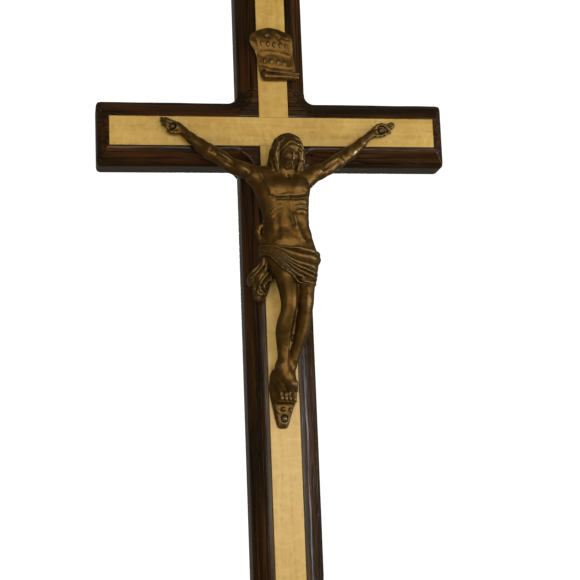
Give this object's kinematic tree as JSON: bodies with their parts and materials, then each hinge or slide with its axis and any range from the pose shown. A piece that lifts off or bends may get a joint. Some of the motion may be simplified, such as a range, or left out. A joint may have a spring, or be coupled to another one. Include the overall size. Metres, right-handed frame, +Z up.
{
  "type": "processional cross",
  "caption": "Bevelled dark wood Latin cross head with pale inlaid strips, a bronze corpus and title scroll, and a socket with a thumb screw for a staff.",
  "frame": {"origin": "centre of the staff socket's mouth, in the flat foot of the upright", "axes": "+Z up along the upright, -Y out of the front face towards the viewer, +X to the viewer's right along the crossbar"},
  "size_m": [0.298, 0.0846, 0.56],
  "materials": {
    "dark_wood": "dark brown stain under gloss varnish, open straight grain, worn at the arrises",
    "pale_wood": "honey-coloured maple under satin varnish",
    "bronze": "cast bronze, brown patina, rubbed brighter on the high points",
    "nail_metal": "bronzed nail, dulled",
    "brass": "turned brass, lacquered, slightly tarnished"
  },
  "bodies": {
    "root": {"upright": "dark_wood", "crossbar": "dark_wood", "crossbar_inlay": "pale_wood", "upper_inlay": "pale_wood", "lower_inlay": "pale_wood", "corpus": "bronze", "title_scroll": "bronze", "left_hand_nail": "nail_metal", "right_hand_nail": "nail_metal", "foot_nail": "nail_metal", "scroll_nail": "nail_metal", "staff_socket": "brass", "socket_screws": "brass", "clamp_insert": "brass"},
    "clamp_screw": {"clamp_stem": "brass"},
    "clamp_handle": {"clamp_knob": "brass"}
  },
  "joints": [
    {"name": "clamp_advance", "type": "slide", "parent": "root", "child": "clamp_screw", "axis": [0, -1, 0], "range_m": [0, 0.0029]},
    {"name": "clamp_turn", "type": "hinge", "parent": "clamp_screw", "child": "clamp_handle", "pos_m": [0, 0.024, 0.036], "axis": [0, -1, 0], "range_deg": [0, 900]}
  ],
  "couplings": [
    {"joint": "clamp_advance", "follows": "clamp_turn", "m_per_rad": 0.00015915}
  ]
}
